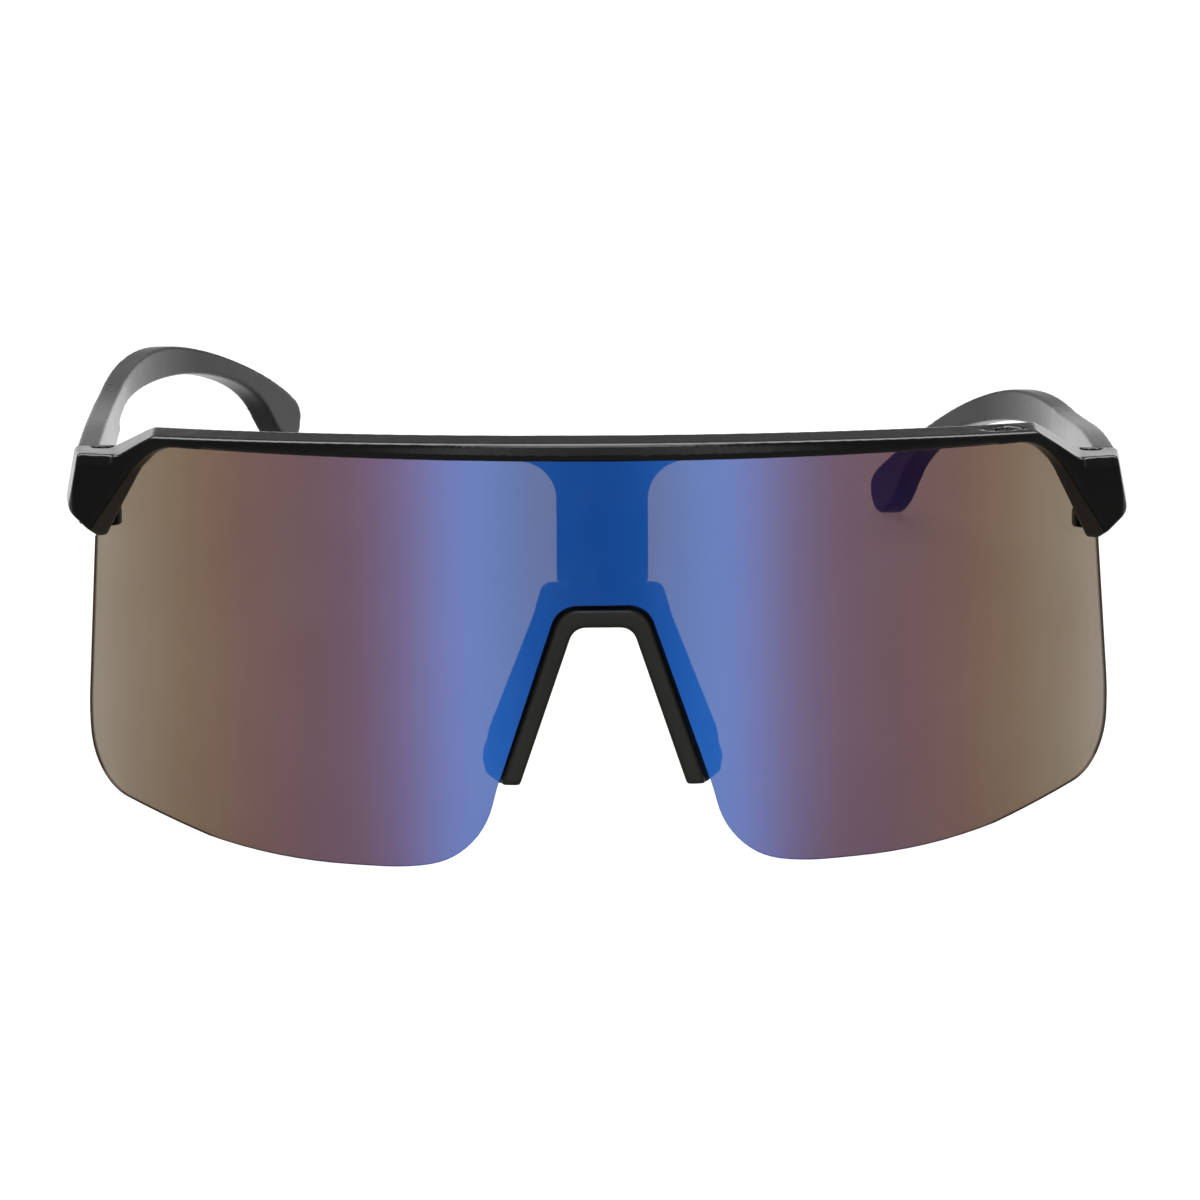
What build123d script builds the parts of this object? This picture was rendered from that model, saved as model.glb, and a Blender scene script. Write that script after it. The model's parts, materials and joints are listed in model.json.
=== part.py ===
"""Wraparound sport sunglasses: a half-rim front with a one-piece shield lens and two folding temples.

The front is drawn in its own frame, where the lens is a vertical cylinder: x runs to the wearer's left, y
runs back from the lens apex and z runs up from the lowest point of the lens. That frame leans back, so that
the glasses stand on the two lobes of the lens and on the tip of the lower temple.
"""
from build123d import *
from math import acos, cos, degrees, radians, sin, tan
import os

os.makedirs("parts", exist_ok=True)

# Standing pose: the front leans back, and the middle of the footprint is the origin. The frame is turned a
# little in its own plane against the level lens, lower on the wearer's left.
lean_back = 11.04
frame_turn = 0.5
apex_side = -0.18
apex_back = -78.55
apex_up = 1.89

# Shield lens
lens_radius = 100.0
lens_thickness = 1.8
lens_top = 56.5
lens_side_angle = 44.0
lobe_x = 34.0
slot_play = 0.08
turn_height = 30.0

# Brow bar
bar_top = 58.5
bar_front_top = 57.7
bar_front_bottom = 55.4
bar_rear_bottom = 54.9
bar_proud = 2.4
bar_behind = 4.2
bar_edge = 0.5
roof_tilt = 3.0
bar_half_sweep = 32.0

# End pieces
end_top = 53.1
end_widest_height = 45.3
end_bottom = 41.4
end_half_width = 73.7
end_top_half_width = 72.2
end_rear = 32.8
end_side_splay = 7.5
end_side_depth = 28.0
end_facet_angle = 21.9
end_facet_start = 62.5
end_bevel_drop = 1.6
end_bevel_back = 1.2
end_bevel_start = 4.6
window_angle = 38.0
rear_recess = 4.4

# The wearer's left end and hinge sit lower than the right ones by twice this lift.
end_lift = {"left": -0.6, "right": 0.6}

# Centre post behind the lens
post_half_width = 6.1
post_bottom = 38.7
post_front = 0.15
post_thickness = 2.1
post_fillet = 5.0
tenon_half_width = 4.0
tenon_drop = 2.2
tenon_thickness = 1.0

# Nose bracket and pads
rim_top = 35.4
rim_shoulder_x = 5.6
rim_leg_slope = 18.8
rim_bottom = 11.6
rim_width = 2.4
rim_proud = 0.7
rim_gap = 0.55
bracket_thickness = 2.0
pad_depth = 5.5

# Hinges
hinge_x = 68.7
hinge_y = 31.0
knuckle_radius = 2.4
sweep_gap = 0.3
temple_knuckle_low = 45.1
temple_knuckle_high = 49.7
ear_gap = 0.25
ear_low = 42.2
screw_radius = 0.8
screw_play = 0.05
head_radius = 1.35
head_height = 0.7
head_recess = 1.2
slot_width = 0.4
insert_radius = 1.4
insert_height = 2.0
washer_radius = 2.0
washer_thickness = 0.2

# Temples. The set bends an arm up a little towards its tip.
temple_front = 33.0
temple_thickness = 3.2
temple_start_x = 71.0
temple_splay = 2.4
temple_straight_end = 70.0
temple_sweep_radius = 300.0
temple_sweep_turn = 4.0
temple_bend_radius = 68.0
temple_turn_in = {"left": 28.2, "right": 29.7}
temple_tail = 36.0
temple_pivot_height = 47.4
temple_set = {"left": -4.6, "right": 4.6}
temple_set_power = 1.7

leaning = Plane(
    origin=(apex_side, apex_back, apex_up),
    x_dir=(1, 0, 0),
    z_dir=(0, sin(radians(lean_back)), cos(radians(lean_back))),
)
turn = radians(frame_turn)
front = Plane(
    origin=leaning.from_local_coords(Vector(-turn_height * sin(turn), 0, turn_height * (1 - cos(turn)))),
    x_dir=leaning.from_local_coords(Vector(cos(turn), 0, -sin(turn))) - leaning.origin,
    z_dir=leaning.from_local_coords(Vector(sin(turn), 0, cos(turn))) - leaning.origin,
)
middle = Plane(origin=front.origin, x_dir=front.y_dir, z_dir=front.x_dir)


def from_front(origin, x_dir, z_dir):
    """Plane given in the front's own frame."""
    return Plane(
        origin=front.from_local_coords(Vector(*origin)),
        x_dir=front.from_local_coords(Vector(*x_dir)) - front.origin,
        z_dir=front.from_local_coords(Vector(*z_dir)) - front.origin,
    )


def level(height):
    """Plane square to the lens axis, with x to the wearer's left and y back."""
    return front.offset(height)


def facing(depth):
    """Upright plane seen from in front, with its normal forward."""
    return from_front((0, depth, 0), (1, 0, 0), (0, -1, 0))


def tangent_to_lens(angle):
    """Upright plane that touches the lens at an angle round its axis, with its normal outward."""
    a = radians(angle)
    touch = (lens_radius * sin(a), lens_radius * (1 - cos(a)), 0)
    return from_front(touch, (cos(a), sin(a), 0), (sin(a), -cos(a), 0))


def through_axis(angle):
    """Upright plane through the lens axis, with x as the radius and y as the height."""
    a = radians(angle)
    return from_front((0, lens_radius, 0), (sin(a), -cos(a), 0), (-cos(a), -sin(a), 0))


def from_the_side(lift):
    """Upright plane in the middle of the glasses, with x back from the temple's front and y up from its pivot."""
    return from_front((0, temple_front, temple_pivot_height + lift), (0, 1, 0), (1, 0, 0))


def along_the_side():
    """Upright plane square to the splayed side of an end piece, true to width where that side is deepest."""
    a = radians(end_side_splay)
    origin = (end_half_width * (1 - cos(a)), end_side_depth + end_half_width * sin(a), 0)
    return from_front(origin, (cos(a), -sin(a), 0), (-sin(a), -cos(a), 0))


lens_axis = Axis(front.from_local_coords(Vector(0, lens_radius, 0)), front.z_dir)


def swept_round_lens(section, half_sweep):
    """A section of radius and height, turned round the lens axis."""
    with BuildPart() as swept:
        with BuildSketch(through_axis(-half_sweep)):
            add(section)
        revolve(axis=lens_axis, revolution_arc=2 * half_sweep)
    return swept.part


def wall_section(inner, outer, bottom, top):
    """Section of a plain wall between two radii."""
    with BuildSketch() as section:
        with Locations(((inner + outer) / 2, (bottom + top) / 2)):
            Rectangle(outer - inner, top - bottom)
    return section.sketch


def rim_line(grow):
    """Points of the nose rim's outer edge, grown by a distance: the top, the shoulder and the leg's end."""
    slope = radians(rim_leg_slope)
    shoulder = rim_shoulder_x + grow * (1 - sin(slope)) / cos(slope)
    leg_end = shoulder + (rim_top + grow - rim_bottom) * tan(slope)
    return [(0, rim_top + grow), (shoulder, rim_top + grow), (leg_end, rim_bottom)]


def shield_outline(grow):
    """Front view of the lens without its outer corners, grown into the frame's slot by a distance."""
    top, shoulder, leg_end = rim_line(rim_gap - grow)
    lobe = (lobe_x, -grow)
    chin = (55.2, 2.4 - grow)
    cheek = (82.0, 8.8 - grow)
    with BuildSketch() as outline:
        with BuildLine():
            FilletPolyline(top, shoulder, leg_end, radius=3.6)
            Spline(
                leg_end,
                (15.4, 7.7),
                (17.2, 4.5),
                (19.8, 2.1),
                (23.0, 0.7),
                (27.0, 0.12),
                lobe,
                tangents=[(0.32, -0.947), (1, 0)],
            )
            Spline(lobe, (45.0, 0.6 - grow), chin, tangents=[(1, 0), (0.973, 0.232)])
            Polyline(chin, cheek, (82.0, lens_top + grow), (0, lens_top + grow), top)
        make_face()
        mirror(about=Plane.YZ)
    return outline.sketch


def outside_corner(grow, lift):
    """What lies outside the lens's lower corner and side edge, in the plane that touches the lens there."""
    shoulder = (0.4, 41.6 + lift)
    roof = (-19.0, lens_top + 3.5 + lift)
    with BuildSketch() as outside:
        with BuildLine():
            FilletPolyline((-24, 1.0), (2.3, 7.7), (2.8, 18.0), shoulder, radius=[9.8, 30.0])
            Polyline(shoulder, (-2.3, 43.2 + lift), (-2.6, 46.5 + lift), (-9.0, 52.0 + lift), roof)
            Polyline(roof, (25, lens_top + 3.5 + lift), (25, -9), (-24, -9), (-24, 1.0))
        make_face()
        if grow:
            offset(amount=-grow, kind=Kind.INTERSECTION, mode=Mode.REPLACE)
    return outside.sketch


def lens_blank(grow, top):
    """The lens, or with a positive growth the slot that the frame holds it in."""
    section = wall_section(lens_radius - lens_thickness - grow, lens_radius + grow, -2, top)
    left_outside = outside_corner(grow, end_lift["left"])
    right_outside = mirror(outside_corner(grow, end_lift["right"]), about=Plane.YZ)
    with BuildPart() as blank:
        add(swept_round_lens(section, 52))
        with BuildSketch(facing(60)):
            add(shield_outline(grow))
        extrude(amount=70, mode=Mode.INTERSECT)
        with BuildSketch(tangent_to_lens(lens_side_angle)):
            add(left_outside)
        extrude(amount=14, both=True, mode=Mode.SUBTRACT)
        with BuildSketch(tangent_to_lens(-lens_side_angle)):
            add(right_outside)
        extrude(amount=14, both=True, mode=Mode.SUBTRACT)
    turning = Axis(front.from_local_coords(Vector(0, 0, turn_height)), front.y_dir)
    return blank.part.rotate(turning, -frame_turn)


with BuildPart() as shield_lens:
    add(lens_blank(0, lens_top))


# ---------------------------------------------------------------- brow frame

def bar_section():
    """Section of the brow bar over the lens: a front lip and a rear lip, with stock above for the roof."""
    face = lens_radius + bar_proud
    rear = lens_radius - bar_behind
    with BuildSketch() as section:
        with BuildLine():
            Polyline(
                (rear, bar_rear_bottom),
                (lens_radius, bar_rear_bottom),
                (lens_radius, bar_front_bottom),
                (face - bar_edge, bar_front_bottom),
                (face, bar_front_bottom + bar_edge),
                (face, bar_top + 1),
                (rear, bar_top + 1),
                close=True,
            )
        make_face()
    return section.sketch


def over_the_roof():
    """Everything above the bar's roof, which rises to the rear and droops towards the ends."""
    face = lens_radius + bar_proud
    rear = lens_radius - bar_behind
    with BuildSketch() as section:
        with BuildLine():
            Polyline(
                (face + 4, bar_front_top - bar_edge),
                (face, bar_front_top - bar_edge),
                (face - bar_edge, bar_front_top),
                (rear + bar_edge, bar_top),
                (rear, bar_top - bar_edge),
                (rear - 4, bar_top - bar_edge),
                (rear - 4, bar_top + 5),
                (face + 4, bar_top + 5),
                close=True,
            )
        make_face()
    drooping = Axis(front.from_local_coords(Vector(0, 0, bar_top)), front.x_dir)
    return swept_round_lens(section.sketch, 60).rotate(drooping, -roof_tilt)


def end_silhouette(lift):
    """Front view of one end of the frame: the bar's end, the slope down from it and the end piece."""
    with BuildSketch() as outline:
        with BuildLine():
            FilletPolyline(
                (48, bar_top + 1),
                (58.3, bar_top + 0.5 + 0.3 * lift),
                (66.9, end_top + lift),
                (end_top_half_width, end_top + lift),
                (end_half_width, end_widest_height + lift),
                (69.6, end_bottom + lift),
                (64.0, end_bottom + lift),
                (48, 50),
                radius=[6.0, 1.8, 0.6, 1.8, 1.2, 0.6],
            )
            Line((48, 50), (48, bar_top + 1))
        make_face()
    return outline.sketch


def end_plan():
    """Plan of one end: the curved wall round the lens, the flat-faced end piece and the hinge ear."""
    face = lens_radius + bar_proud
    rear = lens_radius - bar_behind
    start = 270 + bar_half_sweep
    face_sweep = 360 - degrees(acos(end_facet_start / face)) - start
    rear_sweep = 360 - degrees(acos((hinge_x - 2.3) / rear)) - start
    with BuildSketch() as plan:
        with BuildLine():
            outer = CenterArc((0, lens_radius), face, start, face_sweep)
            inner = CenterArc((0, lens_radius), rear, start, rear_sweep)
            facet_width = end_top_half_width - end_facet_start
            facet_end = outer @ 1 + Vector(facet_width, facet_width * tan(radians(end_facet_angle)))
            FilletPolyline(
                outer @ 1,
                facet_end,
                facet_end + Vector(2.8, 3.2),
                (facet_end.X + 2.8, end_rear),
                (hinge_x - 1.1, end_rear),
                inner @ 1,
                radius=[0.8, 1.2, 0.4, 0.4],
            )
            Line(inner @ 0, outer @ 0)
        make_face()
    return plan.sketch


def end_bevel_plane(lift):
    """Plane square to the end piece's front facet, at the facet's top edge: x back from the facet, y up."""
    a = radians(end_facet_angle)
    face = lens_radius + bar_proud
    start_depth = lens_radius - (face**2 - end_facet_start**2) ** 0.5
    origin = (end_facet_start, start_depth, end_top + lift)
    return from_front(origin, (-sin(a), cos(a), 0), (cos(a), sin(a), 0))


def window_corner(lift, grow):
    """The window's outer corner, in the plane that touches the lens there."""
    corner = -1.7 + 0.3 * lift + grow
    foot = corner + 12.1
    with BuildSketch() as window:
        with BuildLine():
            FilletPolyline((-30, bar_front_bottom), (corner, bar_front_bottom), (foot, 38.0 + lift), radius=10.0)
            Polyline((foot, 38.0 + lift), (-30, 38.0 + lift), (-30, bar_front_bottom))
        make_face()
    return window.sketch


def cylinder_on_hinge(radius, low, high):
    """Cylinder on the hinge axis of the wearer's left side."""
    with BuildPart() as body:
        with BuildSketch(level(low)):
            with Locations((hinge_x, hinge_y)):
                Circle(radius)
        extrude(amount=high - low)
    return body.part


ear_gap_low = temple_knuckle_low - ear_gap
ear_gap_high = temple_knuckle_high + ear_gap
screw_seat = end_top - head_recess


def frame_end(lift):
    """One end of the frame with its hinge ears, on the wearer's left side."""
    gap_low = ear_gap_low + lift
    gap_high = ear_gap_high + lift
    top = end_top + lift
    with BuildPart() as end:
        with BuildSketch(level(end_bottom - 3)):
            add(end_plan())
        extrude(amount=bar_top - end_bottom + 4)
        with BuildSketch(along_the_side()):
            add(end_silhouette(lift))
        extrude(amount=60, both=True, mode=Mode.INTERSECT)
        with BuildSketch(end_bevel_plane(lift).offset(end_bevel_start)):
            with BuildLine():
                Polyline((-3, -end_bevel_drop), (0, -end_bevel_drop), (end_bevel_back, 0), (-3, 0), close=True)
            make_face()
        extrude(amount=20, mode=Mode.SUBTRACT)
        with BuildSketch(tangent_to_lens(window_angle)):
            add(window_corner(lift, 0))
        extrude(amount=20, both=True, mode=Mode.SUBTRACT)
        with BuildSketch(tangent_to_lens(window_angle).offset(-lens_thickness / 2)):
            add(window_corner(lift, rear_recess))
        extrude(amount=-20, mode=Mode.SUBTRACT)
        add(cylinder_on_hinge(knuckle_radius, ear_low + lift, top))
        add(cylinder_on_hinge(knuckle_radius + sweep_gap, gap_low, gap_high), mode=Mode.SUBTRACT)
        add(cylinder_on_hinge(head_radius + 0.15, screw_seat + lift, top), mode=Mode.SUBTRACT)
        add(cylinder_on_hinge(screw_radius + screw_play, gap_high, top), mode=Mode.SUBTRACT)
        add(cylinder_on_hinge(insert_radius, gap_low - insert_height, gap_low), mode=Mode.SUBTRACT)
    return end.part


def post_outline():
    """Front view of the centre post, which spreads into the bar at its top."""
    with BuildSketch() as outline:
        with BuildLine():
            FilletPolyline(
                (post_half_width, post_bottom),
                (post_half_width, bar_rear_bottom),
                (post_half_width + 2 * post_fillet, bar_rear_bottom),
                radius=post_fillet,
            )
            Polyline(
                (post_half_width + 2 * post_fillet, bar_rear_bottom),
                (post_half_width + 2 * post_fillet, bar_front_bottom + 1),
                (0, bar_front_bottom + 1),
                (0, post_bottom),
                (post_half_width, post_bottom),
            )
        make_face()
        mirror(about=Plane.YZ)
    return outline.sketch


post_outer = lens_radius - lens_thickness - post_front
post_inner = post_outer - post_thickness

with BuildPart() as post:
    add(swept_round_lens(wall_section(post_inner, post_outer, post_bottom - 5, bar_front_top - 1), 14))
    with BuildSketch(facing(20)):
        add(post_outline())
        with Locations((0, post_bottom)):
            Rectangle(2 * tenon_half_width, 2 * tenon_drop)
    extrude(amount=20, mode=Mode.INTERSECT)
    above_step = wall_section(post_inner + tenon_thickness, post_outer + 1, post_bottom - 5, post_bottom)
    add(swept_round_lens(above_step, 14), mode=Mode.SUBTRACT)

with BuildPart() as brow_frame:
    add(swept_round_lens(bar_section(), bar_half_sweep))
    add(frame_end(end_lift["left"]))
    mirror(frame_end(end_lift["right"]), about=middle)
    add(post.part)
    add(over_the_roof(), mode=Mode.SUBTRACT)
    add(lens_blank(slot_play, lens_top + slot_play), mode=Mode.SUBTRACT)


# ---------------------------------------------------------------- nose bracket and pads

def bracket_outline():
    """Front view of the bracket behind the lens: round shoulders, splayed legs and flared feet."""
    top, shoulder, leg_end = rim_line(-rim_width)
    with BuildSketch() as outline:
        with BuildLine():
            FilletPolyline(
                (0, post_bottom - 0.1),
                (8.0, post_bottom - 0.1),
                (9.3, 34.0),
                (15.4, 18.4),
                (16.0, 12.9),
                (13.8, 11.2),
                radius=[1.6, 8.0, 4.0, 1.0],
            )
            Polyline((13.8, 11.2), leg_end)
            FilletPolyline(leg_end, shoulder, top, radius=2.2)
            Line(top, (0, post_bottom - 0.1))
        make_face()
        mirror(about=Plane.YZ)
    return outline.sketch


def rim_outline():
    """Front view of the rim that fills the nose opening's edge."""
    outer_top, outer_shoulder, outer_end = rim_line(0)
    inner_top, inner_shoulder, inner_end = rim_line(-rim_width)
    with BuildSketch() as outline:
        with BuildLine():
            FilletPolyline(outer_top, outer_shoulder, outer_end, radius=3.3)
            Line(outer_end, inner_end)
            FilletPolyline(inner_end, inner_shoulder, inner_top, radius=2.2)
            Line(inner_top, outer_top)
        make_face()
        mirror(about=Plane.YZ)
    return outline.sketch


bracket_inner = post_outer - bracket_thickness

with BuildPart() as rim:
    add(swept_round_lens(wall_section(bracket_inner, lens_radius + rim_proud, 5, 45), 14))
    with BuildSketch(facing(20)):
        add(rim_outline())
    extrude(amount=30, mode=Mode.INTERSECT)

with BuildPart() as nose_bracket:
    add(swept_round_lens(wall_section(bracket_inner, post_outer, 5, 45), 14))
    with BuildSketch(facing(20)):
        add(bracket_outline())
    extrude(amount=20, mode=Mode.INTERSECT)
    add(rim.part)
    add(post.part, mode=Mode.SUBTRACT)


def pad_section(upper, upper_radius, lower, lower_radius):
    """Front view of a nose pad at one depth: two rounds and the tangents between them."""
    with BuildSketch() as section:
        with Locations(upper):
            Circle(upper_radius)
        with Locations(lower):
            Circle(lower_radius)
        make_hull()
    return section.sketch


with BuildPart() as nose_pad_left:
    with BuildSketch(facing(3.0)):
        add(pad_section((8.3, 28.2), 1.7, (13.75, 14.1), 2.5))
    with BuildSketch(facing(3.0 + pad_depth + 2)):
        add(pad_section((9.6, 26.6), 1.1, (14.5, 14.6), 1.6))
    loft()
    add(swept_round_lens(wall_section(bracket_inner - 30, bracket_inner, 5, 45), 20), mode=Mode.INTERSECT)

with BuildPart() as nose_pad_right:
    mirror(nose_pad_left.part, about=middle)


# ---------------------------------------------------------------- temples

def temple_plan(turn_in):
    """Plan of the wearer's left temple, which splays out, then turns in behind the ear."""
    splay = radians(temple_splay)
    heading = (sin(splay), cos(splay))
    length = (temple_straight_end - temple_front) / cos(splay)
    with BuildSketch() as plan:
        with BuildLine() as path:
            arm = PolarLine((temple_start_x, temple_front), length, direction=heading)
            sweep = JernArc(arm @ 1, arm % 1, temple_sweep_radius, temple_sweep_turn)
            hook_turn = temple_splay + turn_in - temple_sweep_turn
            bend = JernArc(sweep @ 1, sweep % 1, temple_bend_radius, hook_turn)
            Line(bend @ 1, bend @ 1 + (bend % 1) * temple_tail)
        trace(path.edges(), line_width=temple_thickness)
    return plan.sketch


def temple_profile(set_up):
    """Side view of a temple from the pivot height at its front end: x back, y up."""
    def bent(back, up):
        return (back, up + set_up * (back / 100) ** temple_set_power)

    with BuildSketch() as profile:
        with BuildLine():
            front_top = (0, 5.6)
            front_bottom = (0, -5.6)
            tip_top = bent(112.6, -5.4)
            tip_bottom = bent(112.4, -13.9)
            Spline(
                front_top,
                bent(17, 6.1),
                bent(60, 6.4),
                bent(80, 7.9),
                bent(92.6, 5.0),
                tip_top,
                tangents=[(1, 0.04), (0.8, -0.56)],
            )
            Spline(tip_top, bent(116.0, -9.9), tip_bottom, tangents=[(0.8, -0.56), (-0.85, 0.3)])
            Spline(
                tip_bottom,
                bent(106.5, -6.6),
                bent(96.5, -0.1),
                bent(81, 2.9),
                bent(51, 1.2),
                front_bottom,
                tangents=[(-0.85, 0.5), (-1, -0.12)],
            )
            Polyline(front_bottom, (-3, -5.6), (-3, 5.6), front_top)
        make_face()
    return profile.sketch


def temple_web():
    """Plan of the web that joins the hinge knuckle to the temple."""
    with BuildSketch() as web:
        with BuildLine():
            Polyline(
                (hinge_x - 0.5, hinge_y + 2.3),
                (hinge_x + 1.2, 37.5),
                (hinge_x + 2.8, 37.5),
                (hinge_x + 2.8, temple_front),
                (hinge_x + 1.0, temple_front),
                (hinge_x, hinge_y),
                close=True,
            )
        make_face()
    return web.sketch


def temple(side):
    """The wearer's left temple, or its mirror image for the right side."""
    lift = end_lift[side]
    knuckle_low = temple_knuckle_low + lift
    knuckle_high = temple_knuckle_high + lift
    with BuildPart() as arm:
        with BuildSketch(level(0)):
            add(temple_plan(temple_turn_in[side]))
        extrude(amount=90)
        with BuildSketch(from_the_side(lift)):
            add(temple_profile(temple_set[side]))
        extrude(amount=90, mode=Mode.INTERSECT)
        add(cylinder_on_hinge(knuckle_radius + sweep_gap, 0, 90), mode=Mode.SUBTRACT)
        with BuildSketch(level(knuckle_low)):
            add(temple_web())
        extrude(amount=knuckle_high - knuckle_low)
        add(cylinder_on_hinge(knuckle_radius, knuckle_low, knuckle_high))
        add(cylinder_on_hinge(screw_radius + screw_play, 0, 90), mode=Mode.SUBTRACT)
    return arm.part


with BuildPart() as temple_left:
    add(temple("left"))

with BuildPart() as temple_right:
    mirror(temple("right"), about=middle)


# ---------------------------------------------------------------- hinge hardware

def hinge_screw(lift):
    """Slotted screw of the wearer's left hinge."""
    head_top = screw_seat + lift + head_height
    with BuildPart() as screw:
        add(cylinder_on_hinge(screw_radius, ear_gap_low + lift - insert_height + 0.3, screw_seat + lift))
        add(cylinder_on_hinge(head_radius, screw_seat + lift, head_top))
        with BuildSketch(level(head_top)):
            with Locations((hinge_x, hinge_y)):
                Rectangle(2 * head_radius + 0.2, slot_width)
        extrude(amount=-head_height / 2, mode=Mode.SUBTRACT)
    return screw.part


def hinge_insert(lift):
    """Threaded insert in the lower ear of the wearer's left hinge."""
    high = ear_gap_low + lift
    with BuildPart() as insert:
        add(cylinder_on_hinge(insert_radius, high - insert_height, high))
        add(cylinder_on_hinge(screw_radius + screw_play, high - insert_height, high), mode=Mode.SUBTRACT)
    return insert.part


def hinge_washers(lift):
    """The two washers between the knuckles of the wearer's left hinge."""
    low = ear_gap_low + lift
    high = ear_gap_high + lift
    with BuildPart() as washers:
        add(cylinder_on_hinge(washer_radius, low, low + washer_thickness))
        add(cylinder_on_hinge(washer_radius, high - washer_thickness, high))
        add(cylinder_on_hinge(screw_radius + screw_play, low - 1, high + 1), mode=Mode.SUBTRACT)
    return washers.part


with BuildPart() as hinge_screw_left:
    add(hinge_screw(end_lift["left"]))

with BuildPart() as hinge_screw_right:
    mirror(hinge_screw(end_lift["right"]), about=middle)

with BuildPart() as hinge_insert_left:
    add(hinge_insert(end_lift["left"]))

with BuildPart() as hinge_insert_right:
    mirror(hinge_insert(end_lift["right"]), about=middle)

with BuildPart() as hinge_washers_left:
    add(hinge_washers(end_lift["left"]))

with BuildPart() as hinge_washers_right:
    mirror(hinge_washers(end_lift["right"]), about=middle)


shield_lens.part.label = "shield_lens"
brow_frame.part.label = "brow_frame"
nose_bracket.part.label = "nose_bracket"
nose_pad_left.part.label = "nose_pad_left"
nose_pad_right.part.label = "nose_pad_right"
temple_left.part.label = "temple_left"
temple_right.part.label = "temple_right"
hinge_screw_left.part.label = "hinge_screw_left"
hinge_screw_right.part.label = "hinge_screw_right"
hinge_insert_left.part.label = "hinge_insert_left"
hinge_insert_right.part.label = "hinge_insert_right"
hinge_washers_left.part.label = "hinge_washers_left"
hinge_washers_right.part.label = "hinge_washers_right"

export_step(shield_lens.part, "parts/shield_lens.step")
export_step(brow_frame.part, "parts/brow_frame.step")
export_step(nose_bracket.part, "parts/nose_bracket.step")
export_step(nose_pad_left.part, "parts/nose_pad_left.step")
export_step(nose_pad_right.part, "parts/nose_pad_right.step")
export_step(temple_left.part, "parts/temple_left.step")
export_step(temple_right.part, "parts/temple_right.step")
export_step(hinge_screw_left.part, "parts/hinge_screw_left.step")
export_step(hinge_screw_right.part, "parts/hinge_screw_right.step")
export_step(hinge_insert_left.part, "parts/hinge_insert_left.step")
export_step(hinge_insert_right.part, "parts/hinge_insert_right.step")
export_step(hinge_washers_left.part, "parts/hinge_washers_left.step")
export_step(hinge_washers_right.part, "parts/hinge_washers_right.step")
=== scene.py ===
import json
import math

import bmesh
import bpy
from mathutils import Matrix, Vector


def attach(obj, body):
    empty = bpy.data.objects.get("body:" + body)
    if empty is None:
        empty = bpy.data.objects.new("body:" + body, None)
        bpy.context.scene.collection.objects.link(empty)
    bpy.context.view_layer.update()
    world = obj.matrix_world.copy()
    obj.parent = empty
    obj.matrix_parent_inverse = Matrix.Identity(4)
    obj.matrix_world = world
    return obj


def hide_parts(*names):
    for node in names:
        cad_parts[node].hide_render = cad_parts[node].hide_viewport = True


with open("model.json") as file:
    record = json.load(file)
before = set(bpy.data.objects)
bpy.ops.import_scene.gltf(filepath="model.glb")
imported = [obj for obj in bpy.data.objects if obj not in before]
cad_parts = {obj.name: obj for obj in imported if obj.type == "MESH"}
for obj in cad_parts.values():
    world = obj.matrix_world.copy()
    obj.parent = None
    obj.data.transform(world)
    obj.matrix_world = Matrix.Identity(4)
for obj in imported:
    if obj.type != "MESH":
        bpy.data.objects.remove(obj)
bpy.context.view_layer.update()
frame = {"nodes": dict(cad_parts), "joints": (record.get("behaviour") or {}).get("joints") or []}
nodes = frame["nodes"]
scene = bpy.context.scene
MM = 0.001

# The lens is a cylinder about an axis that leans back with the front.
LEAN = math.radians(11.04)
LENS_APEX = Vector((-0.18, -78.55, 1.89)) * MM
LENS_RADIUS = 100 * MM
LENS_THICKNESS = 1.8 * MM
LENS_HALF_WIDTH = 72 * MM
LENS_BACK = Vector((0, math.cos(LEAN), -math.sin(LEAN)))
LENS_UP = Vector((0, math.sin(LEAN), math.cos(LEAN)))
LENS_AXIS_POINT = LENS_APEX + LENS_BACK * LENS_RADIUS

# The lens's cut edge turns from clear to a painted dark shade between these two depths under its outer face.
# This painted dark line stands in for the one the edge shows as it bends light.
PAINTED_SHADE_DEEP = 0.75 * MM
PAINTED_SHADE_SHALLOW = 0.35 * MM

# Rounding of the moulded pieces: how far apart vertices are still merged, the rounds of the first
# smoothing, and the factor of every smoothing.
WELD_REACH = 0.001 * MM
FIRST_ROUNDS = 6
SMOOTHING = 0.5

# Ragged edges in the frame's remeshed surface: how sharp they are, and how widely and how often they are
# smoothed.
RAGGED_ANGLE = 1.1
RAGGED_RINGS = 7
RAGGED_ROUNDS = 80

# Turned metal: phase of the tool rings in radians per metre, and their depth.
RING_PHASE = 60000.0
RING_DEPTH = 0.02 * MM

FLOOR_REACH = 2.5
FLOOR_DROP = 0.05 * MM

CAMERA_PLACE = Vector((-0.011006, -0.596370, 0.232911))
CAMERA_SIGHT = Vector((0.018733, 0.937230, -0.348208))
CAMERA_ROLL = math.radians(0.504)
FOCAL_LENGTH = 126.66


# ---------------------------------------------------------------- node helpers

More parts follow.
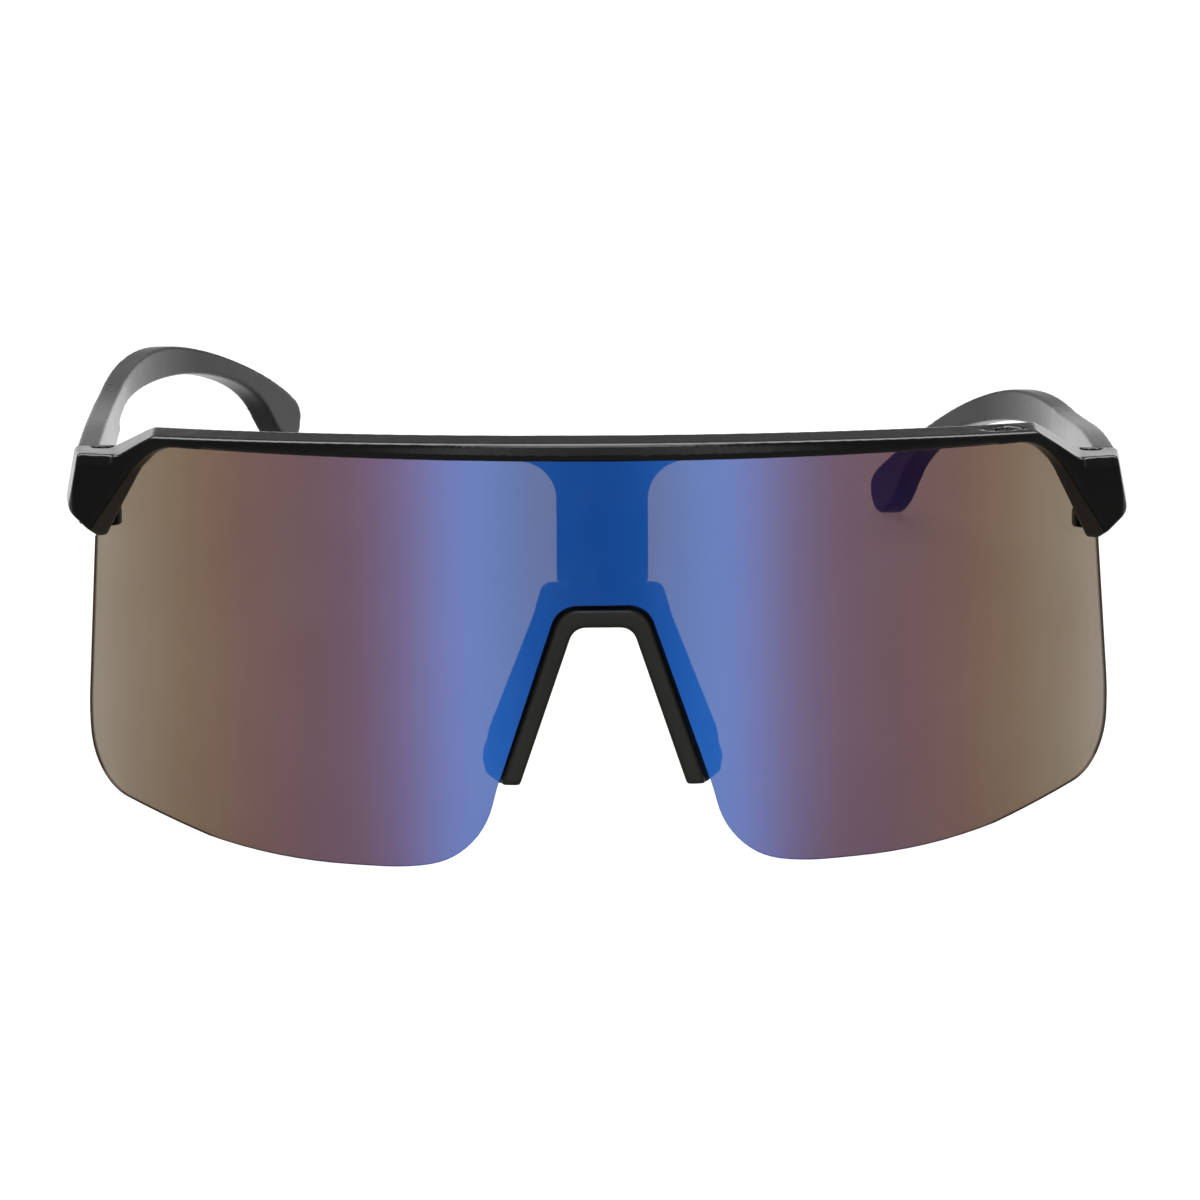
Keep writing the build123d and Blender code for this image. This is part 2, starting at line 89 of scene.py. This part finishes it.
class Nodes:
    """A node tree under construction, with short names for the nodes used here."""

    def __init__(self, tree):
        self.tree = tree

    def new(self, kind, **settings):
        node = self.tree.nodes.new(kind)
        for name, value in settings.items():
            setattr(node, name, value)
        return node

    def put(self, socket, value):
        if isinstance(value, bpy.types.NodeSocket):
            self.tree.links.new(value, socket)
        else:
            socket.default_value = value

    def math(self, operation, *values, clamp=False):
        node = self.new("ShaderNodeMath", operation=operation, use_clamp=clamp)
        for socket, value in zip(node.inputs, values):
            self.put(socket, value)
        return node.outputs[0]

    def vector(self, operation, *values, out=0):
        node = self.new("ShaderNodeVectorMath", operation=operation)
        for socket, value in zip(node.inputs, values):
            self.put(socket, value)
        return node.outputs[out]

    def dot(self, a, b):
        return self.vector("DOT_PRODUCT", a, b, out="Value")

    def scaled(self, direction, length):
        node = self.new("ShaderNodeVectorMath", operation="SCALE")
        node.inputs[0].default_value = tuple(direction)
        self.put(node.inputs["Scale"], length)
        return node.outputs[0]

    def spread(self, value, low, high, to_low=0.0, to_high=1.0, smooth=False):
        kind = "SMOOTHSTEP" if smooth else "LINEAR"
        node = self.new("ShaderNodeMapRange", interpolation_type=kind)
        for socket, x in zip(node.inputs, (value, low, high, to_low, to_high)):
            self.put(socket, x)
        return node.outputs["Result"]

    def ramp(self, value, stops, interpolation="LINEAR"):
        node = self.new("ShaderNodeValToRGB")
        ramp = node.color_ramp
        ramp.interpolation = interpolation
        while len(ramp.elements) < len(stops):
            ramp.elements.new(0.5)
        for element, (position, colour) in zip(ramp.elements, stops):
            element.position = position
            element.color = (*colour, 1)
        self.put(node.inputs[0], value)
        return node.outputs["Color"]

    def mix(self, share, a, b):
        node = self.new("ShaderNodeMix", data_type="RGBA")
        self.put(node.inputs[0], share)
        self.put(node.inputs[6], a)
        self.put(node.inputs[7], b)
        return node.outputs[2]

    def place(self):
        return self.new("ShaderNodeTexCoord").outputs["Object"]

    def noise(self, where, scale, detail=2.0, roughness=0.5):
        node = self.new("ShaderNodeTexNoise")
        self.put(node.inputs["Vector"], where)
        node.inputs["Scale"].default_value = scale
        node.inputs["Detail"].default_value = detail
        node.inputs["Roughness"].default_value = roughness
        return node.outputs[0]

    def bump(self, height, strength, distance):
        node = self.new("ShaderNodeBump")
        node.inputs["Strength"].default_value = strength
        node.inputs["Distance"].default_value = distance
        self.put(node.inputs["Height"], height)
        return node.outputs[0]

    def principled(self, **values):
        node = self.new("ShaderNodeBsdfPrincipled")
        for name, value in values.items():
            self.put(node.inputs[name.replace("_", " ")], value)
        return node.outputs[0]


def material(name):
    made = bpy.data.materials.new(name)
    made.use_nodes = True
    made.node_tree.nodes.clear()
    return made, Nodes(made.node_tree)


def surface(n, shader):
    out = n.new("ShaderNodeOutputMaterial")
    n.put(out.inputs["Surface"], shader)


def grey(level):
    return (level, level, level, 1)


# ---------------------------------------------------------------- materials

def moulded_plastic(name, colour, lighter, rough_low, rough_high, grain, grain_depth, sheen=0.0):
    """Moulded plastic: a fine grain, faint flow marks in its colour and handling marks in its gloss."""
    made, n = material(name)
    at = n.place()
    flow = n.noise(at, 70, 3)
    marks = n.noise(at, 320, 4, 0.65)
    tint = n.mix(n.spread(flow, 0.35, 0.7), (*colour, 1), (*lighter, 1))
    rough = n.spread(marks, 0.3, 0.72, rough_low, rough_high)
    fine = n.noise(at, grain, 2)
    normal = n.bump(fine, 0.5, grain_depth)
    surface(n, n.principled(
        Base_Color=tint, Roughness=rough, Normal=normal, Sheen_Weight=sheen, Sheen_Roughness=0.35))
    return made


def turned_metal(name, colour, shade, axis_point, axis):
    """Turned metal with fine rings about an axis."""
    made, n = material(name)
    at = n.vector("SUBTRACT", n.place(), tuple(axis_point))
    along = n.dot(at, tuple(axis))
    radius = n.vector("LENGTH", n.vector("SUBTRACT", at, n.scaled(axis, along)), out="Value")
    rings = n.math("SINE", n.math("MULTIPLY", radius, RING_PHASE))
    worn = n.noise(n.place(), 900, 3)
    tint = n.mix(n.spread(worn, 0.35, 0.65), (*colour, 1), (*shade, 1))
    normal = n.bump(rings, 0.25, RING_DEPTH)
    rough = n.spread(worn, 0.3, 0.7, 0.22, 0.4)
    surface(n, n.principled(Base_Color=tint, Metallic=1.0, Roughness=rough, Normal=normal))
    return made


def lens_material():
    """Brown lens, lighter towards the sides, with a mirror on its outer face: blue, then violet, then faint.

    The two faces and the cut edge are told apart by the distance from the cylinder's axis and by the normal.
    The cut edge carries a painted dark line of shade near the outer face.
    """
    made, n = material("lens_mirror")
    coordinates = n.new("ShaderNodeTexCoord")
    at = coordinates.outputs["Object"]
    from_axis = n.vector("SUBTRACT", at, tuple(LENS_AXIS_POINT))
    height = n.dot(from_axis, tuple(LENS_UP))
    from_axis = n.vector("SUBTRACT", from_axis, n.scaled(LENS_UP, height))
    radius = n.vector("LENGTH", from_axis, out="Value")
    outer = n.math("GREATER_THAN", radius, LENS_RADIUS - LENS_THICKNESS / 2)
    outwards = n.vector("NORMALIZE", from_axis)
    squareness = n.math("ABSOLUTE", n.dot(coordinates.outputs["Normal"], outwards))
    edge = n.spread(squareness, 0.7, 0.5)

    aside = n.new("ShaderNodeSeparateXYZ")
    n.put(aside.inputs[0], n.vector("SUBTRACT", at, tuple(LENS_APEX)))
    drift = n.spread(n.noise(at, 28, 2), 0, 1, -0.02, 0.02)
    across = n.math("ABSOLUTE", n.math("MULTIPLY", aside.outputs[0], 1 / LENS_HALF_WIDTH))
    across = n.math("ADD", across, drift, clamp=True)
    clear = n.ramp(across, [
        (0.00, (0.100, 0.082, 0.026)),
        (0.18, (0.106, 0.088, 0.042)),
        (0.28, (0.118, 0.090, 0.066)),
        (0.40, (0.126, 0.086, 0.078)),
        (0.55, (0.130, 0.078, 0.072)),
        (0.68, (0.146, 0.090, 0.064)),
        (0.78, (0.168, 0.116, 0.076)),
        (0.90, (0.206, 0.164, 0.118)),
        (1.00, (0.262, 0.226, 0.186)),
    ])
    mirror = n.ramp(across, [
        (0.00, (0.016, 0.135, 0.610)),
        (0.22, (0.022, 0.142, 0.560)),
        (0.33, (0.055, 0.110, 0.480)),
        (0.45, (0.090, 0.040, 0.420)),
        (0.60, (0.070, 0.030, 0.200)),
        (0.80, (0.050, 0.030, 0.030)),
        (1.00, (0.060, 0.050, 0.040)),
    ])
    smudges = n.spread(n.noise(at, 55, 5, 0.62), 0.42, 0.75)
    streaks = n.new("ShaderNodeMapping")
    streaks.inputs["Scale"].default_value = (1.0, 1.0, 0.16)
    streaks.inputs["Rotation"].default_value = (0, 0.5, 0.2)
    n.put(streaks.inputs["Vector"], at)
    wiped = n.spread(n.noise(streaks.outputs[0], 240, 4, 0.7), 0.5, 0.8)

    # Painted shade: near the outer face the cut edge's see-through colour turns dark brown. It is a dark
    # line painted where the edge only bends light.
    painted_shade_band = n.spread(radius, LENS_RADIUS - PAINTED_SHADE_DEEP, LENS_RADIUS - PAINTED_SHADE_SHALLOW)
    cut = n.mix(painted_shade_band, grey(0.93), (0.10, 0.075, 0.055, 1))
    through = n.mix(edge, n.mix(outer, grey(0.96), clear), cut)
    shine = n.mix(edge, n.mix(outer, grey(0.03), mirror), n.mix(painted_shade_band, grey(0.02), grey(0.08)))
    blur = n.math("ADD", n.spread(smudges, 0, 1, 0.03, 0.09), n.spread(wiped, 0, 1, 0.0, 0.05))
    haze = n.mix(n.math("MULTIPLY", smudges, outer), grey(0.0), (0.010, 0.012, 0.014, 1))
    passing = n.new("ShaderNodeBsdfTransparent")
    n.put(passing.inputs["Color"], through)
    gloss = n.new("ShaderNodeBsdfGlossy")
    n.put(gloss.inputs["Color"], shine)
    n.put(gloss.inputs["Roughness"], blur)
    film = n.new("ShaderNodeBsdfDiffuse")
    n.put(film.inputs["Color"], haze)
    both = n.new("ShaderNodeAddShader")
    n.put(both.inputs[0], passing.outputs[0])
    n.put(both.inputs[1], gloss.outputs[0])
    total = n.new("ShaderNodeAddShader")
    n.put(total.inputs[0], both.outputs[0])
    n.put(total.inputs[1], film.outputs[0])
    surface(n, total.outputs[0])
    return made


# ---------------------------------------------------------------- pieces

def hinge_line(side):
    """A point on a hinge's axis and the axis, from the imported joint."""
    joint = next(j for j in frame["joints"] if j["child"] == f"{side}_temple")
    return Vector(joint["pos_m"]), Vector(joint["axis"])


def dress(name, made):
    """Puts a material on a CAD node that is shown as it is."""
    node = nodes[name]
    node.data.materials.clear()
    node.data.materials.append(made)


def heal(shape):
    """Smooths the ragged edges that the remesh leaves, as round a hole in a wall thinner than a voxel."""
    work = bmesh.new()
    work.from_mesh(shape)
    ragged = set()
    for edge in work.edges:
        if len(edge.link_faces) == 2 and edge.calc_face_angle(0.0) > RAGGED_ANGLE:
            ragged.update(edge.verts)
    for _ in range(RAGGED_RINGS):
        ragged.update([edge.other_vert(vert) for vert in list(ragged) for edge in vert.link_edges])
    near = sorted(ragged, key=lambda vert: vert.index)
    for _ in range(RAGGED_ROUNDS):
        bmesh.ops.smooth_vert(
            work, verts=near, factor=SMOOTHING, use_axis_x=True, use_axis_y=True, use_axis_z=True)
    work.to_mesh(shape)
    work.free()


def softened(name, made, body, voxel, rounds):
    """Puts a moulded piece in place of a CAD node: the same solid with its edges rounded off."""
    mesh = nodes[name].data.copy()
    piece = bpy.data.objects.new(name + "_moulded", mesh)
    scene.collection.objects.link(piece)
    weld = piece.modifiers.new("weld", "WELD")
    weld.merge_threshold = WELD_REACH
    for step, passes in (("first", FIRST_ROUNDS), ("second", rounds)):
        grid = piece.modifiers.new(step + "_grid", "REMESH")
        grid.mode = "VOXEL"
        grid.voxel_size = voxel
        grid.use_smooth_shade = True
        relax = piece.modifiers.new(step + "_relax", "SMOOTH")
        relax.factor = SMOOTHING
        relax.iterations = passes
    graph = bpy.context.evaluated_depsgraph_get()
    shape = bpy.data.meshes.new_from_object(piece.evaluated_get(graph))
    piece.modifiers.clear()
    piece.data = shape
    shape.name = piece.name
    shape.materials.clear()
    shape.materials.append(made)
    if name == "brow_frame":
        heal(shape)
    for face in shape.polygons:
        face.use_smooth = True
        face.material_index = 0
    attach(piece, body)
    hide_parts(name)


gloss_black = moulded_plastic(
    "frame_gloss_black", (0.0045, 0.0045, 0.0042), (0.007, 0.0066, 0.006),
    rough_low=0.10, rough_high=0.19, grain=900, grain_depth=0.004 * MM)
matte_black = moulded_plastic(
    "temple_matte_black", (0.010, 0.010, 0.0095), (0.015, 0.0145, 0.0135),
    rough_low=0.27, rough_high=0.34, grain=2600, grain_depth=0.010 * MM, sheen=0.5)
matte_olive = moulded_plastic(
    "nose_matte_olive", (0.009, 0.009, 0.006), (0.014, 0.0135, 0.009),
    rough_low=0.34, rough_high=0.44, grain=2600, grain_depth=0.02 * MM)
rubber = moulded_plastic(
    "pad_rubber", (0.012, 0.012, 0.012), (0.02, 0.02, 0.019),
    rough_low=0.6, rough_high=0.75, grain=1800, grain_depth=0.03 * MM)
nylon = moulded_plastic(
    "washer_nylon", (0.05, 0.05, 0.048), (0.08, 0.08, 0.075),
    rough_low=0.4, rough_high=0.5, grain=1500, grain_depth=0.01 * MM)

softened("brow_frame", gloss_black, "front", voxel=0.2 * MM, rounds=5)
softened("nose_bracket", matte_olive, "front", voxel=0.16 * MM, rounds=24)
dress("shield_lens", lens_material())
for side in ("left", "right"):
    point, axis = hinge_line(side)
    softened(f"nose_pad_{side}", rubber, "front", voxel=0.2 * MM, rounds=8)
    softened(
        f"temple_{side}", matte_black, f"{side}_temple", voxel=0.2 * MM, rounds=20)
    steel = turned_metal(f"screw_steel_{side}", (0.42, 0.42, 0.41), (0.3, 0.3, 0.3), point, axis)
    dress(f"hinge_screw_{side}", steel)
    brass = turned_metal(f"insert_brass_{side}", (0.6, 0.42, 0.16), (0.45, 0.3, 0.1), point, axis)
    dress(f"hinge_insert_{side}", brass)
    dress(f"hinge_washers_{side}", nylon)


# ---------------------------------------------------------------- floor, light and camera

def studio_world():
    """White for the camera. Reflections see the studio instead.

    It has two soft lights in front, a strip overhead, a broad light high behind and a pale table behind.
    """
    world = bpy.data.worlds.new("studio")
    scene.world = world
    world.use_nodes = True
    world.node_tree.nodes.clear()
    n = Nodes(world.node_tree)
    direction = n.new("ShaderNodeSeparateXYZ")
    n.put(direction.inputs[0], n.new("ShaderNodeTexCoord").outputs["Generated"])
    x, y, z = direction.outputs
    aside = n.math("ABSOLUTE", x)
    turned = n.math("DIVIDE", n.math("ARCTAN2", aside, n.math("MULTIPLY", y, -1.0)), math.pi)
    by_degrees = (
        (0, 0.42), (11, 0.54), (20, 0.90), (26, 0.72), (33, 0.34), (40, 0.13), (48, 0.09), (80, 0.10),
        (110, 0.16), (140, 0.14), (180, 0.13))
    walls = n.ramp(turned, [(angle / 180, (level,) * 3) for angle, level in by_degrees], "B_SPLINE")
    high = n.spread(z, 0.80, 0.93, smooth=True)
    overhead = n.math("MULTIPLY", high, n.spread(aside, 0.30, 0.16, smooth=True))
    table = n.math("ADD", z, n.math("MULTIPLY", n.math("SUBTRACT", 1.0, y), 0.03))
    raised = n.spread(z, 0.45, 0.65, smooth=True)
    behind = n.math("MULTIPLY", raised, n.spread(y, 0.30, 0.45, smooth=True))
    sky = n.mix(overhead, n.mix(behind, walls, grey(4.5)), grey(3.0))
    white = n.mix(n.spread(y, -0.1, 0.5, smooth=True), grey(0.12), grey(0.9))
    sky = n.mix(n.spread(table, 0.0, -0.04, smooth=True), sky, white)
    seen = n.new("ShaderNodeLightPath").outputs["Is Camera Ray"]
    colour = n.mix(seen, sky, grey(1.0))
    light = n.new("ShaderNodeBackground")
    n.put(light.inputs["Color"], colour)
    out = n.new("ShaderNodeOutputWorld")
    n.put(out.inputs["Surface"], light.outputs[0])


def floor():
    """Plain pale floor just under the object, which reflections don't see."""
    mesh = bpy.data.meshes.new("floor")
    corners = [(x * FLOOR_REACH, y * FLOOR_REACH, 0) for x, y in ((-1, -1), (1, -1), (1, 1), (-1, 1))]
    mesh.from_pydata(corners, [], [(0, 1, 2, 3)])
    made = bpy.data.objects.new("floor", mesh)
    scene.collection.objects.link(made)
    made.location.z = -FLOOR_DROP
    made.visible_glossy = False
    paper, n = material("paper")
    speckle = n.noise(n.place(), 300, 2)
    surface(n, n.principled(
        Base_Color=n.mix(speckle, grey(0.28), grey(0.31)), Roughness=0.9, Specular_IOR_Level=0.0,
        Emission_Color=grey(1.0), Emission_Strength=0.86))
    mesh.materials.append(paper)


def camera():
    """Camera above and in front, turned a little about its own line of sight."""
    data = bpy.data.cameras.new("camera")
    data.sensor_width = 36
    data.lens = FOCAL_LENGTH
    data.clip_start = 0.05
    data.clip_end = 20
    made = bpy.data.objects.new("camera", data)
    scene.collection.objects.link(made)
    sight = CAMERA_SIGHT.normalized()
    right = sight.cross(Vector((0, 0, 1))).normalized()
    up = right.cross(sight)
    x_axis = right * math.cos(CAMERA_ROLL) - up * math.sin(CAMERA_ROLL)
    y_axis = right * math.sin(CAMERA_ROLL) + up * math.cos(CAMERA_ROLL)
    turn = Matrix((x_axis, y_axis, -sight)).transposed()
    made.matrix_world = Matrix.Translation(CAMERA_PLACE) @ turn.to_4x4()
    scene.camera = made


studio_world()
floor()
camera()
scene.view_settings.view_transform = "Standard"
